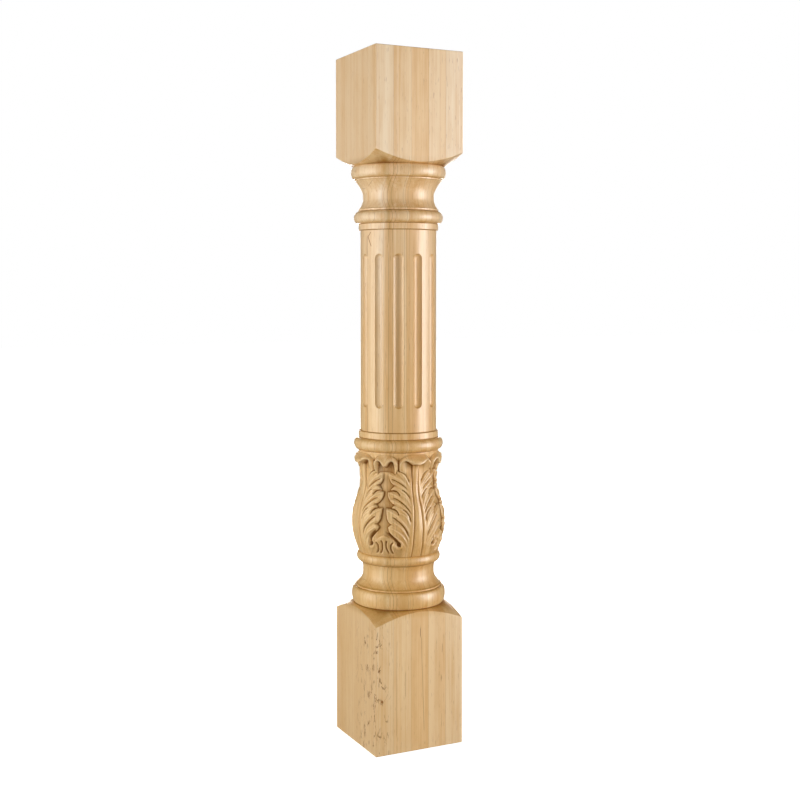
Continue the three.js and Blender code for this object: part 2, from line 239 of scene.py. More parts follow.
def half_leaf(near):
    """Half of a leaf and its painted shade; the halves on the two sides of a corner part differently at the foot."""
    b = 45.0 - AA
    R = env(ZZ)
    # ---- valley floor on the corner axis, rising to the bound stems at the foot
    H = -5.0 + 0.8 * (1 - (b / 12.0) ** 2) + 3.6 * sm(283, 275, ZZ)
    H = H + 2.6 * sm(350, 364, ZZ)
    # ---- blade
    din = inside_distance(outline(near))
    # painted shade where the carving lies in shade; below zero it is a painted highlight
    painted_shade = np.zeros_like(ZZ)
    low = -1.0 - 0.4 * sm(16, 6, AA)
    blade = low - 0.9 * np.clip(1 - din / 1.8, 0, 1) ** 2 - 4.5 * np.maximum(-din, 0)
    for f in FINGERS:
        st = strip(f['p'], f['w'], f['h'], crown=1.9, wall=2.5, tilt=0.45, ripple=0.5, waves=0.95)
        st = st - 4.5 * np.maximum(-din, 0) - 0.9 * np.clip(1 - din / 1.4, 0, 1) ** 2
        blade = smax(blade, st, 0.25)
    # incised lines and cuts, each with painted shade along it
    for g in GROOVES:
        cut = groove(g['p'], g['d'] * 1.5, g['w'] * 1.1, g['e'])
        blade = blade - cut
        painted_shade = np.maximum(painted_shade, 0.27 * cut)
    for g in GAPS:
        cut = groove(g['p'], g['d'] * 0.75, g['w'], g['e'])
        blade = blade - cut
        painted_shade = np.maximum(painted_shade, 0.24 * cut)
    # the steep side of the blade, down to the valley, with painted shade on it and on the valley floor beside it
    painted_shade = np.maximum(painted_shade, ((0.22 if near else 0.28) + 0.4 * np.exp(np.minimum(din, 0) / 2.8)) * (din < 0) * sm(19, 25, AA) * sm(362, 354, ZZ))
    painted_shade = np.maximum(painted_shade, 1.0 * np.clip(1.25 - np.abs(din + 0.8) / 1.4, 0, 1) * sm(19, 25, AA) * sm(358, 352, ZZ))
    if not near:
        painted_shade = np.maximum(painted_shade, 0.42 * np.exp(-np.maximum(din, 0) / 1.5) * (din > 0) * sm(23, 28, AA) * sm(358, 352, ZZ))
    H = smax(H, blade, 0.15)
    # ---- foot of the leaf, swelling out to the bound stems
    top = spline([0, 8, 12, 18, 22, 26, 31, 36, 45], [272, 271, 269, 265, 263.5, 263.5, 267, 273, 279])(AA)
    foot = -0.45 - 0.45 * ((AA - 20) / 14.0) ** 2 - 0.35 * np.maximum(ZZ - top, 0) - 4.0 * np.maximum(ZZ - top - 3.0, 0)
    H = smax(H, foot, 1.0)
    # ---- bud on the corner axis with the scroll round each eye, and the channel above them
    H = smax(H, strip([(45.0, 278.4), (40.6, 276.4), (35.8, 272.6), (31.6, 268.4), (28.8, 265.0), (25.2, 263.6), (21.8, 265.4), (20.6, 268.6)],
                      [2.6, 2.8, 2.8, 2.6, 2.2, 1.9, 1.5, 1.0], [-0.9, -0.6, -0.35, -0.1, 0.1, 0.0, -0.3, -0.8], crown=0.9, wall=2.0), 0.9)
    if near:
        cut = groove([(37.4, 289.6), (33.0, 286.2), (28.8, 282.2), (26.0, 277.8), (25.0, 273.6), (25.4, 270.0)], 3.6, 2.1, (0.3, 0.0))
    else:
        cut = groove([(45.0, 286.0), (39.0, 283.6), (34.0, 279.6), (29.2, 275.0), (25.6, 270.8)], 3.3, 2.0, (0.35, 0.0))
    H = H - cut
    # painted shade in the channel
    painted_shade = np.maximum(painted_shade, 0.26 * cut)
    eye = np.hypot((AA - 25.4) * 0.95, ZZ - 269.6)
    H = H - 4.8 * np.maximum(0, 1 - (eye / 3.3) ** 2) ** 0.7
    # painted shade in the eye
    painted_shade = np.maximum(painted_shade, 1.0 * sm(3.4, 1.6, eye))
    # ---- bound stems on the corner axis
    for p in ([(41.2, 275.8), (42.5, 270.0), (42.4, 265.0), (40.8, 260.4), (37.6, 255.8)], [(32.2, 273.2), (35.4, 269.6), (36.4, 265.2), (35.4, 261.0), (32.0, 256.0)]):
        cut = groove(p, 2.9, 1.5, (0.12, 0.2))
        H = H - cut
        # painted shade in the cuts
        painted_shade = np.maximum(painted_shade, 0.25 * cut)
    # ---- rib between its two incised lines
    w = rib_half(ZZ)
    q = AA / w
    side = strip([(w0 + 2.5, z0) for z0, w0 in [(353, 4.8), (340, 4.6), (327, 4.5), (310, 5.1), (293, 5.9), (270, 6.7), (256, 7.4), (248, 7.9)]],
                 [1.0, 1.6, 1.8, 1.9, 1.9, 2.2, 2.4, 2.4], [-1.6, -1.1, -0.9, -0.8, -0.8, -0.7, -0.5, -0.5], crown=0.6, wall=2)
    H = smax(H, side, 0.3)
    r = R + H
    # ---- curled heads: hollows and bell
    bell = spline([340, 357, 366, 372, 377, 381, 384, 386.5, 389, 392], [50.2, 50.2, 50.2, 50.4, 51.0, 51.9, 52.8, 53.5, 54.0, 54.2])(ZZ)
    crown_edge = spline([0, 7, 11.0, 14.4, 18.6, 23.0, 27.8, 29.8, 31.2, 34.6, 41, 45], [349, 350, 353.0, 358.6, 361.9, 363.9, 364.8, 362.0, 359.8, 361.6, 362.6, 362.8])(AA)
    over = sm(-0.5, 0.7, ZZ - crown_edge)
    # a head is a hood that ends in a lip and runs down each side as a rounded rim
    arch = spline([0, 6, 14.2, 19.8, 23.2, 25.8, 28.2, 31.1, 35.9, 41, 45], [386.6, 386.3, 385.0, 382.2, 379.6, 377.4, 379.4, 382.0, 384.6, 385.6, 385.9])(AA)
    rim = np.interp(ZZ, [350, 356, 361, 366, 371, 376, 380, 384, 388], [50.4, 51.2, 52.2, 53.7, 55.6, 57.4, 58.2, 57.6, 56.0])
    top = np.zeros_like(ZZ)
    for h in HEADS:
        xx = np.abs(AA - h['axis'])
        mine = AA < 25.8 if h['axis'] == 0 else AA >= 25.8
        d = inside_distance_at(xx, ZZ, np.array(h['edge'] + [(h['edge'][-1][0], 330), (-9, 330), (-9, h['edge'][0][1])]))
        zl = spline(*zip(*h['lip']))(xx)
        s = (arch - ZZ) / np.maximum(arch - zl, 2.0)
        tip = h['r'] - (h['r'] - 58.6) * np.clip(xx / h['half'], 0, 1) ** 2
        base = spline([370, 376, 380, 384, 387], [51.2, 51.6, 52.2, 53.1, 53.9])(arch)
        rise = np.clip(s / 0.85, 0, 1)
        hood = base + (tip - base) * (0.6 * np.sin(np.pi / 2 * rise) + 0.4 * sm(0, 1, rise))
        m = sm(h['half'] - 4, h['half'] + 2, xx)
        side = rim - 1.6 * np.clip((xx - h['out'] + 2.2) / 2.4, 0, 1) ** 2
        fall = np.clip((ZZ - arch + 5.0) / 5.0, 0, 1)
        side = side + (np.minimum(bell, side) - side) * fall ** 1.4
        shell = hood * (1 - m) + side * m
        shell = shell - h['roll'] * np.clip(1 + d / 1.1, 0, 1) ** 2
        if h['axis'] == 0:
            t = np.clip((xx - 6.5) / 15.5, 0, 1)
            inner = 49.9 + (rim - 49.9) * t ** 1.6 - 0.5 * sm(368, 378, ZZ) * (1 - t)
            wall = 7.0 - 6.2 * sm(13, 19, xx)
        else:
            inner = 49.6 - 1.6 * np.exp(-((xx - 8.2) / 4.2) ** 2 - ((ZZ - 371.5) / 5.5) ** 2) - 0.5 * sm(366, 374, ZZ)
            wall = 5.0 + 2.0 * sm(10, 4, xx)
        hollow = np.maximum(inner, shell - wall * np.maximum(d, 0))
        top = np.where(mine, np.where(d > 0, hollow, shell), top)
        # painted shade in the hollow under each lip, and on the corner leaves along the edge of the crown; the part
        # taken off is a painted highlight on the hood
        depth = sm(0.1, 1.6, d) * over * mine
        if h['axis'] == 0:
            under = depth * 0.6 * sm(364, 374, ZZ) * sm(19, 13, xx)
        else:
            under = depth * (0.56 + 0.14 * sm(368, 376, ZZ))
            under = np.maximum(under, 0.95 * np.clip(1.3 - np.abs(ZZ - crown_edge - 1.0) / 1.5, 0, 1))
        under = under - 0.55 * sm(0.2, 1.2, -d) * sm(arch + 0.5, arch - 1.5, ZZ) * sm(h['half'] + 4, h['half'] - 2, xx)
        painted_shade = np.where(over * mine > 0.5, under, painted_shade)
    # the gap between the two heads, with painted shade in it
    gap = np.maximum(0, 1 - (np.abs(AA - 25.8) / 1.4) ** 2) ** 0.7 * sm(384, 378.5, ZZ)
    top = top - 3.4 * gap
    painted_shade = np.maximum(painted_shade, 0.9 * gap * over)
    top = np.where(ZZ > arch - 0.5, np.maximum(bell, np.where(ZZ > arch + 0.6, 0, top)), top)
    r = r * (1 - over) + top * over
    # ---- rib and its lines, from the foot up to the lip
    rr = np.interp(ZZ, [250, 253, 300, 340, 348, 356, 364, 370, 376], [0, 0, 0, 0, 0.3, 1.2, 2.0, 2.6, 3.0])
    rib = R - 0.95 + 0.55 * (1 - q ** 2) + 0.2 * np.maximum(0, 1 - AA / 1.8) + rr
    ribline = np.maximum(0, 1 - (np.abs(AA - w) / 1.0) ** 2) ** 0.8
    lipz0 = 372.6 + 0.04 * AA ** 2
    under = ZZ < lipz0 + 0.5
    r = np.where((q < 1) & under, np.minimum(np.maximum(rib, 0), 99), r)
    r = r - 1.35 * ribline * np.where(under, 1, 0) * sm(374, 369, ZZ)
    r = np.minimum(r, 62.9)
    return blur(r, 1.0), np.clip(blur(painted_shade, 1.2), -1, 1)


# ---------------- turned form ----------------
HEIGHT, HALF = 914.4, 63.5
SLOPE, LOW_SHOULDER, HIGH_SHOULDER, SHOULDER_IN = 0.54, 181.9, 768.0, 59.4
CORNER_EASE, ARRIS = 0.7, 0.45
SHAFT_R = 50.8
FLUTES, FLUTE_PHASE, FLUTE_Z0, FLUTE_Z1, FLUTE_W, FLUTE_D = 12, 4.0, 446.7, 649.6, 13.6, 4.0
BASE, FINE_K = 144, 3
FINE = BASE * FINE_K
BELT_Z0, BELT_Z1 = 252.9, 388.8
STRETCH = 1.0016

even = np.arange(BASE) * 360.0 / BASE


def bead(z0, z1, r0, r1, swell, n=14):
    t = np.linspace(0, 1, n + 1)
    base = r0 + (r1 - r0) * t
    return [(r, z) for r, z in zip(base + (swell - base) * np.sin(np.pi * t),
                                   (z0 + z1) / 2 - (z1 - z0) / 2 * np.cos(np.pi * t))]


def fillet(z0, z1, r, ease=0.35):
    return [(r - ease, z0), (r, z0 + ease), (r, z1 - ease), (r - ease, z1)]


def cove(z0, za, zb, z1, r0, rm, r1, p0, p1, n=9):
    """A hollow with a short straight waist, opening out below and above it."""
    t = np.linspace(0, 1, n + 1)
    lower = [(rm + (r0 - rm) * (1 - u) ** p0, z0 + (za - z0) * u) for u in t]
    return lower + [(rm + (r1 - rm) * u ** p1, zb + (z1 - zb) * u) for u in t]


class Skin:
    """Rings of points round the axis, joined into one closed mesh, each point with its painted shade."""

    def __init__(self):
        self.points, self.faces, self.cav, self.carved = [], [], [], []
        self.count, self.last = 0, None

    def add(self, r, z, deg, cav=0.0, carved=False):
        deg = np.asarray(deg, float)
        n = len(deg)
        r, z, cav = (np.broadcast_to(np.asarray(v, float), (n,)) for v in (r, z, cav))
        t = np.radians(deg)
        self.points.append(np.c_[r * np.sin(t), -r * np.cos(t), z])
        self.cav.append(cav)
        self.carved.append(np.full(n, carved))
        new = (self.count, n)
        self.count += n
        return new

    def ring(self, r, z, deg=even, cav=0.0, carved=False):
        new = self.add(r, z, deg, cav, carved)
        if self.last is not None:
            self.join(self.last, new)
        self.last = new

    def join(self, lo, up):
        (a, n), (b, m) = lo, up
        if n == m:
            i = np.arange(n)
            j = (i + 1) % n
            self.faces.extend(np.c_[a + i, a + j, b + j, b + i].tolist())
            return
        k = max(n, m) // min(n, m)
        h = k // 2
        for i in range(min(n, m)):
            c0, c1 = i, (i + 1) % min(n, m)
            f = [(k * i + j) % max(n, m) for j in range(k + 1)]
            if n < m:
                for j in range(k):
                    self.faces.append([a + (c0 if j < h + k % 2 else c1), b + f[j + 1], b + f[j]])
                self.faces.append([a + c0, a + c1, b + f[h + k % 2]])
            else:
                for j in range(k):
                    self.faces.append([a + f[j], a + f[j + 1], b + (c0 if j < h + k % 2 else c1)])
                self.faces.append([a + f[h + k % 2], b + c1, b + c0])

    def cap(self, z, down):
        """Closes the skin with the last ring's flat middle, or opens it from a middle point."""
        c = self.add([0.0], [z], [0.0])[0]
        a, n = self.last
        i = np.arange(n)
        j = (i + 1) % n
        self.faces.extend((np.c_[np.full(n, c), a + j, a + i] if down else np.c_[np.full(n, c), a + i, a + j]).tolist())


# ---------------- square ends ----------------
square = even.copy()
for q in range(4):
    for k, d in ((-2, -0.75), (-1, -math.degrees(math.pi / 4 - math.atan((HALF - CORNER_EASE) / HALF))), (1, None), (2, None)):
        d = d if d is not None else {1: math.degrees(math.pi / 4 - math.atan((HALF - CORNER_EASE) / HALF)), 2: 0.75}[k]
        square[18 + 36 * q + k] = 45 + 90 * q + d
off = np.radians((square + 45) % 90 - 45)
side_r = HALF / np.cos(off)
side_r[np.arange(18, BASE, 36)] = math.sqrt(2) * (HALF - CORNER_EASE) + CORNER_EASE


def lerp(a, b, t):
    return a + (b - a) * t


skin = Skin()
inset = (HALF - 0.7) / HALF
skin.ring(side_r * 0.5, 0.0, square)
first = skin.last
skin.cap(0.0, True)
skin.ring(side_r * inset, 0.0, square)
skin.ring(side_r, 0.7, square)
low_edge = LOW_SHOULDER - SLOPE * (side_r - HALF)
for t in (0.004, 0.14, 0.3, 0.46, 0.62, 0.78, 0.92, 1.0):
    skin.ring(side_r, lerp(0.7, low_edge - ARRIS, t), square)
in_r = side_r - ARRIS
# painted shade where the shoulder runs into the bead
for t in (0.0, 0.1, 0.4, 0.75, 1.0):
    r = lerp(in_r, SHOULDER_IN, t)
    skin.ring(r, LOW_SHOULDER - SLOPE * (r - HALF), lerp(square, even, t), cav=t ** 4)


# a turned profile; its first and last rings carry painted shade for the quirk beside them
def turn(profile, cav_ends=(0.0, 0.0)):
    n = len(profile)
    for i, (r, z) in enumerate(profile):
        c = cav_ends[0] if i == 0 else cav_ends[1] if i == n - 1 else 0.0
        skin.ring(r, z, cav=c)


turn(bead(184.4, 206.4, 59.0, 57.4, 62.8), (1.0, 0.7))
turn(fillet(206.9, 208.6, 57.4))
turn(cove(208.9, 224.5, 229.5, 239.4, 56.4, 47.7, 50.6, 2.0, 2.4), (0.3, 0.6))
turn(bead(239.9, 252.6, 51.0, 52.0, 56.0), (0.8, 0.9))

# ---------------- carved belt ----------------
def leaf_maps(near):
    """Radius and painted shading of half a leaf: painted shade in the hollows, painted highlight on the crests."""
    form, painted_shade = half_leaf(near)
    near_form = blur(form, 4.0) - form
    shade = np.clip((near_form - 0.06) / 0.85, 0, 1) * 0.75 + np.clip((blur(form, 12.0) - form - 0.5) / 3.0, 0, 1) * 0.45
    dark = np.maximum(painted_shade, 0)
    shade = np.minimum(np.maximum(shade, dark) + 0.25 * np.minimum(shade, dark), 1)
    return form, shade - np.clip((-near_form - 0.05) / 0.5, 0, 1) * 0.8 + np.minimum(painted_shade, 0)


leaf_left, leaf_right = leaf_maps(True), leaf_maps(False)


def sample(grid, a, z):
    fa = np.clip(a / DA, 0, len(A_) - 1.001)
    fz = np.clip((z - Z_[0]) / DZ, 0, len(Z_) - 1.001)
    i, j = fz.astype(int), fa.astype(int)
    u, v = fz - i, fa - j
    return ((grid[i, j] * (1 - v) + grid[i, j + 1] * v) * (1 - u) + (grid[i + 1, j] * (1 - v) + grid[i + 1, j + 1] * v) * u)


def belt_row(zt):
    """Angles and heights of one row of the carved belt: it follows the sweep of the lobes, and
    its columns follow the two incised lines of the rib."""
    n = FINE // 8
    drop = 20.0 * sm(250, 300, zt) * (1 - sm(312, 366, zt))
    u = np.arange(n + 1)
    w = float(rib_half(zt - drop))
    a = np.where(u <= 8, u / 8 * (w - 1.5), np.where(u <= 13, w - 1.5 + (u - 8) / 5 * 3.0, w + 1.5 + (u - 13) / (n - 13) * (45 - w - 1.5)))
    z = zt - drop * (1 - a / 45)
    deg, zz, aa = [], [], []
    for s in range(8):
        k = slice(0, n) if s % 2 == 0 else slice(n, 0, -1)
        aa.append(a[k])
        zz.append(z[k])
        deg.append(45 * s + (a[k] if s % 2 == 0 else 45 - a[k]))
    return np.concatenate(deg), np.concatenate(aa), np.concatenate(zz)


rows = np.concatenate([np.linspace(BELT_Z0, 357.0, 118)[:-1], np.linspace(357.0, BELT_Z1, 41)])
for zt in rows:
    deg, aa, zz = belt_row(zt)
    left = (np.arange(FINE) // (FINE // 8)) % 2 == 0
    form, shade = (np.where(left, sample(leaf_left[i], aa, zz / STRETCH), sample(leaf_right[i], aa, zz / STRETCH)) for i in (0, 1))
    skin.ring(form, zz, deg, cav=shade, carved=True)

# ---------------- fluted shaft ----------------
turn(bead(389.2, 406.0, 52.8, 52.8, 59.7), (0.9, 0.8))
turn(fillet(406.3, 414.4, 53.2), (0.3, 0.4))

ball = (FLUTE_W ** 2 / 4 + FLUTE_D ** 2) / (2 * FLUTE_D)
centre = SHAFT_R - FLUTE_D + ball
reach = math.sqrt(ball ** 2 - (centre - SHAFT_R) ** 2)
ACROSS = np.array([-1, -0.82, -0.56, -0.28, 0, 0.28, 0.56, 0.82, 1.0])


def fluted(z, blend=1.0):
    """One ring of the shaft: nine columns in each flute and three on each land."""
    dz = max(FLUTE_Z0 + reach - z, z - (FLUTE_Z1 - reach), 0.0)
    cut = ball ** 2 - dz ** 2
    if dz < reach - 1e-6:
        edge = math.acos((SHAFT_R ** 2 + centre ** 2 - cut) / (2 * SHAFT_R * centre))
    else:
        edge = 0.0
    edge = max(edge, math.radians(1.1))
    deg, r = np.empty(BASE), np.full(BASE, SHAFT_R)
    cav = np.zeros(BASE)
    for k in range(FLUTES):
        mid = FLUTE_PHASE + 360.0 / FLUTES * k
        c = 2 + 12 * k
        for i, s in enumerate(ACROSS):
            phi = s * edge
            j = (c + i - 4) % BASE
            deg[j] = mid + math.degrees(phi)
            inner = cut - (centre * math.sin(phi)) ** 2
            if dz < reach - 1e-6 and inner > 0:
                r[j] = min(SHAFT_R, centre * math.cos(phi) - math.sqrt(inner))
                # painted shade on the floor of the flute
                cav[j] = min(1.0, (SHAFT_R - r[j]) / FLUTE_D) * 0.12
        e = math.degrees(edge)
        for i, s in enumerate((0.25, 0.5, 0.75)):
            deg[(c + 5 + i) % BASE] = mid + e + (30 - 2 * e) * s
    base = even + 360.0 * np.round((deg - even) / 360.0)
    return r, z, lerp(base, deg, blend), cav


# painted shade in the quirk at the foot of the shaft
skin.ring(SHAFT_R, 414.9, cav=0.6)
skin.ring(SHAFT_R, 416.0)
for z, b in ((425, 0.2), (434, 0.6), (442, 0.95)):
    r, z, d, c = fluted(z, b)
    skin.ring(SHAFT_R, z, d)
ends = [reach * math.sin(math.radians(p)) for p in (89.9, 82, 72, 61, 49, 36, 23, 10, 0)]
zs = ([FLUTE_Z0 + reach - e for e in ends] + list(np.linspace(FLUTE_Z0 + reach, FLUTE_Z1 - reach, 14)[1:-1])
      + [FLUTE_Z1 - reach + e for e in ends[::-1]])
for z in zs:
    r, z, d, c = fluted(z)
    skin.ring(r, z, d, cav=c)
for z, b in ((654, 0.95), (662, 0.6), (671, 0.2)):
    r, z, d, c = fluted(z, b)
    skin.ring(SHAFT_R, z, d)
skin.ring(SHAFT_R, 680.0)
# painted shade in the quirk at the head of the shaft
skin.ring(SHAFT_R, 681.1, cav=0.6)

turn(fillet(681.6, 689.4, 53.2), (0.4, 0.3))
turn(bead(689.8, 706.4, 52.8, 52.8, 59.6), (0.8, 0.8))
turn(fillet(706.7, 709.4, 53.6), (0.4, 0.2))
turn(cove(709.8, 721.5, 728.0, 746.6, 52.6, 47.5, 57.2, 1.5, 1.55))
turn(fillet(746.9, 749.0, 58.3), (0.2, 0.4))
turn(bead(749.3, 766.4, 58.4, 58.8, 63.4), (0.6, 1.0))
# painted shade where the bead runs into the shoulder
for t in (0.0, 0.25, 0.6, 0.9, 1.0):
    r = lerp(SHOULDER_IN, in_r, t)
    skin.ring(r, HIGH_SHOULDER + SLOPE * (r - HALF), lerp(even, square, t), cav=(1 - t) ** 4)
high_edge = HIGH_SHOULDER + SLOPE * (side_r - HALF)
for t in (0.0, 0.08, 0.22, 0.38, 0.54, 0.7, 0.86, 0.996):
    skin.ring(side_r, lerp(high_edge + ARRIS, HEIGHT - 0.7, t), square)
skin.ring(side_r, HEIGHT - 0.7, square)
skin.ring(side_r * inset, HEIGHT, square)
skin.ring(side_r * 0.5, HEIGHT, square)
skin.cap(HEIGHT, False)

points = np.concatenate(skin.points) * MM
cav = np.concatenate(skin.cav)
carved = np.concatenate(skin.carved)
mesh = bpy.data.meshes.new("post_skin")
mesh.from_pydata(points.tolist(), [], skin.faces)
mesh.validate()
mesh.shade_smooth()
mesh.set_sharp_from_angle(angle=math.radians(24))
edges = np.empty(len(mesh.edges) * 2, np.int32)
mesh.edges.foreach_get("vertices", edges)
edges = edges.reshape(-1, 2)
sharp = np.empty(len(mesh.edges), bool)
mesh.attributes["sharp_edge"].data.foreach_get("value", sharp)
sharp &= ~(carved[edges[:, 0]] & carved[edges[:, 1]])
mesh.attributes["sharp_edge"].data.foreach_set("value", sharp)
# per-vertex painted shade, negative where it is a painted highlight; the material reads it
layer = mesh.attributes.new("hollow", "FLOAT", "POINT")
layer.data.foreach_set("value", cav.astype(np.float32))
post = bpy.data.objects.new("carved_post", mesh)
bpy.context.collection.objects.link(post)
print("triangles", sum(len(f) - 2 for f in skin.faces))


# ---------------- maple ----------------
def lin(r, g, b):
    return tuple((c / 255 / 12.92) if c / 255 <= 0.04045 else ((c / 255 + 0.055) / 1.055) ** 2.4 for c in (r, g, b)) + (1.0,)


class Graph:
    def __init__(self, tree):
        self.tree = tree

    def node(self, kind, inputs=None, **props):
        n = self.tree.nodes.new(kind)
        for k, v in props.items():
            setattr(n, k, v)
        for k, v in (inputs or {}).items():
            self.put(n.inputs[k], v)
        return n

    def put(self, socket, v):
        if isinstance(v, bpy.types.NodeSocket):
            self.tree.links.new(v, socket)
        else:
            socket.default_value = v

    def math(self, op, a, b=0.0, c=None, clamp=False):
        n = self.node("ShaderNodeMath", {0: a, 1: b}, operation=op, use_clamp=clamp)
        if c is not None:
            self.put(n.inputs[2], c)
        return n.outputs[0]

    def add(self, a, b):
        return self.math("ADD", a, b)

    def mul(self, a, b):
        return self.math("MULTIPLY", a, b)

    def step(self, x, a, b):
        return self.node("ShaderNodeMapRange", {"Value": x, "From Min": a, "From Max": b, "To Min": 0.0, "To Max": 1.0},
                         interpolation_type="SMOOTHSTEP").outputs[0]

    def vec(self, x, y, z):
        return self.node("ShaderNodeCombineXYZ", {0: x, 1: y, 2: z}).outputs[0]

    def noise(self, v, scale=1.0, detail=2.0, rough=0.5, distort=0.0):
        return self.node("ShaderNodeTexNoise", {"Vector": v, "Scale": scale, "Detail": detail, "Roughness": rough, "Distortion": distort},
                         noise_dimensions="3D").outputs[0]

    def mix(self, f, a, b, blend="MIX"):
        n = self.node("ShaderNodeMix", {0: f, 6: a, 7: b}, data_type="RGBA", blend_type=blend)
        return n.outputs[2]

    def ramp(self, f, stops, kind="LINEAR"):
        n = self.node("ShaderNodeValToRGB", {0: f})
        r = n.color_ramp
        r.interpolation = kind
        while len(r.elements) < len(stops):
            r.elements.new(0.5)
        for e, (p, c) in zip(r.elements, stops):
            e.position, e.color = p, c
        return n.outputs[0]


def maple():
    mat = bpy.data.materials.new("maple")
    mat.use_nodes = True
    tree = mat.node_tree
    tree.nodes.clear()
    g = Graph(tree)
    out = g.node("ShaderNodeOutputMaterial")
    shader = g.node("ShaderNodeBsdfPrincipled")
    tree.links.new(shader.outputs[0], out.inputs[0])
    coord = g.node("ShaderNodeTexCoord")
    place = coord.outputs["Object"]
    x, y, z = g.node("ShaderNodeSeparateXYZ", {0: place}).outputs
    lean = g.node("ShaderNodeSeparateXYZ", {0: coord.outputs["Normal"]}).outputs[2]
    slope = g.math("ABSOLUTE", lean)

    # five boards glued side by side, each with its own tone and its own run of the grain
    across = g.math("MULTIPLY_ADD", x, 1 / 0.127, 0.5)
    index = g.math("FLOOR", g.mul(across, 5.0))
    tone = g.ramp(across, [(0.5 + mm / 127, lin(*c)) for mm, c in (
        (-63.5, (242, 216, 179)), (-47, (241, 215, 178)), (-38.1, (237, 204, 158)), (-27, (239, 209, 166)), (-20, (241, 212, 171)),
        (-12.7, (236, 199, 148)), (12.7, (239, 208, 166)), (29, (237, 203, 157)), (38.1, (242, 216, 181)), (52, (242, 216, 182)))], "CONSTANT")
    chance = g.node("ShaderNodeTexWhiteNoise", {"W": g.add(index, 0.37)}, noise_dimensions="1D").outputs["Color"]
    shift = g.node("ShaderNodeVectorMath", {0: chance, 1: (7.0, 9.0, 5.0)}, operation="MULTIPLY").outputs[0]

    def grain(sx, sz, detail=2.0, rough=0.5, distort=0.0):
        v = g.node("ShaderNodeVectorMath", {0: place, 1: (sx, sx, sz)}, operation="MULTIPLY").outputs[0]
        v = g.node("ShaderNodeVectorMath", {0: v, 1: shift}, operation="ADD").outputs[0]
        return g.noise(v, 1.0, detail, rough, distort)

    broad = grain(60, 1.5, 2.0)
    bands = grain(230, 3.0, 3.0, 0.6)
    fibre = grain(900, 14, 3.0, 0.6)
    dash = grain(1150, 80, 1.0)
    wander = grain(14, 2.2, 2.0)
    cloud = grain(70, 22, 2.0, 0.6)

    # growth rings round a heart that lies outside each board
    rnd = g.node("ShaderNodeSeparateXYZ", {0: chance}).outputs
    heart_x = g.math("MULTIPLY_ADD", g.add(index, 0.5), 0.0254, -0.0635)
    dx = g.add(g.math("SUBTRACT", x, heart_x), g.math("MULTIPLY_ADD", rnd[0], 0.05, -0.025))
    dy = g.add(y, g.math("MULTIPLY_ADD", rnd[1], 0.14, 0.05))
    ring_r = g.math("SQRT", g.add(g.mul(dx, dx), g.mul(dy, dy)))
    ring_r = g.add(ring_r, g.mul(wander, 0.016))
    ring = g.math("FRACT", g.mul(ring_r, 1 / 0.0046))
    late = g.mul(g.step(ring, 0.35, 0.93), g.step(ring, 1.0, 0.94))

    dark = g.mix(1.0, tone, (0.84, 0.70, 0.50, 1), "MULTIPLY")
    f = g.add(g.mul(g.math("SUBTRACT", broad, 0.45), 2.1), g.mul(g.math("SUBTRACT", bands, 0.5), 2.0))
    f = g.add(f, g.mul(g.math("SUBTRACT", fibre, 0.5), 1.1))
    f = g.add(f, g.mul(g.math("SUBTRACT", cloud, 0.5), 0.9))
    f = g.add(f, g.mul(late, 0.16))
    f = g.math("ADD", f, 0.25, clamp=True)
    col = g.mix(f, tone, dark)
    pale = g.mix(1.0, tone, (1.03, 1.05, 1.09, 1), "MULTIPLY")
    col = g.mix(g.mul(g.step(bands, 0.53, 0.72), 0.7), col, pale)

    def line(x0, half, breaks, amount, wobble=0.0006, col=col, tint=lin(150, 100, 52)):
        """A dark streak that runs with the grain at one place across the boards."""
        away = g.math("ABSOLUTE", g.math("SUBTRACT", g.add(x, g.math("MULTIPLY_ADD", wander, wobble, -wobble / 2)), x0))
        m = g.mul(g.step(away, half, half * 0.25), g.mul(g.step(cloud, breaks + 0.12, breaks), turned))
        return g.mix(g.mul(m, amount), col, tint)

    # the square ends have a quieter figure; their paleness further down is painted light and sheen
    ends = g.add(g.step(z, 0.182, 0.172), g.step(z, 0.768, 0.778))
    turned = g.math("MULTIPLY_ADD", ends, -1.0, 1.0)
    def band(x0, x1, gain, col):
        m = g.mul(g.mul(g.step(x, x0 - 0.003, x0 + 0.003), g.step(x, x1 + 0.002, x1 - 0.002)), turned)
        return g.mix(m, col, g.mix(1.0, col, gain, "MULTIPLY"))

    col = band(-0.042, -0.026, (1.05, 1.13, 1.32, 1), col)
    col = band(-0.016, 0.0127, (1.03, 1.06, 1.12, 1), col)
    # a darker figure in the second board, and streaks here and there
    away = g.math("ABSOLUTE", g.add(g.math("MULTIPLY_ADD", g.add(y, 0.0396), -1.2, x), 0.0315))
    stripe = g.mul(g.mul(g.step(away, 0.0095, 0.0025), g.math("MULTIPLY_ADD", g.step(z, 0.65, 0.70), 0.4, 0.35)), turned)
    col = g.mix(stripe, col, g.mix(1.0, col, (0.80, 0.73, 0.55, 1), "MULTIPLY"))
    for x0, half, breaks, amount in ((-0.0330, 0.0005, 0.60, 0.5), (-0.0290, 0.0004, 0.56, 0.5), (-0.0365, 0.0004, 0.46, 0.35),
                                     (-0.0152, 0.0004, 0.55, 0.4), (-0.0090, 0.0004, 0.46, 0.4), (0.0215, 0.0004, 0.47, 0.4),
                                     (0.0050, 0.0004, 0.48, 0.35), (0.0305, 0.0004, 0.50, 0.4), (-0.0500, 0.0004, 0.47, 0.35),
                                     (0.0470, 0.0004, 0.45, 0.35)):
        col = line(x0, half, breaks, amount, col=col)
    # short pores
    pore = g.mul(g.step(dash, 0.665, 0.76), 0.42)
    col = g.mix(pore, col, lin(150, 86, 32))
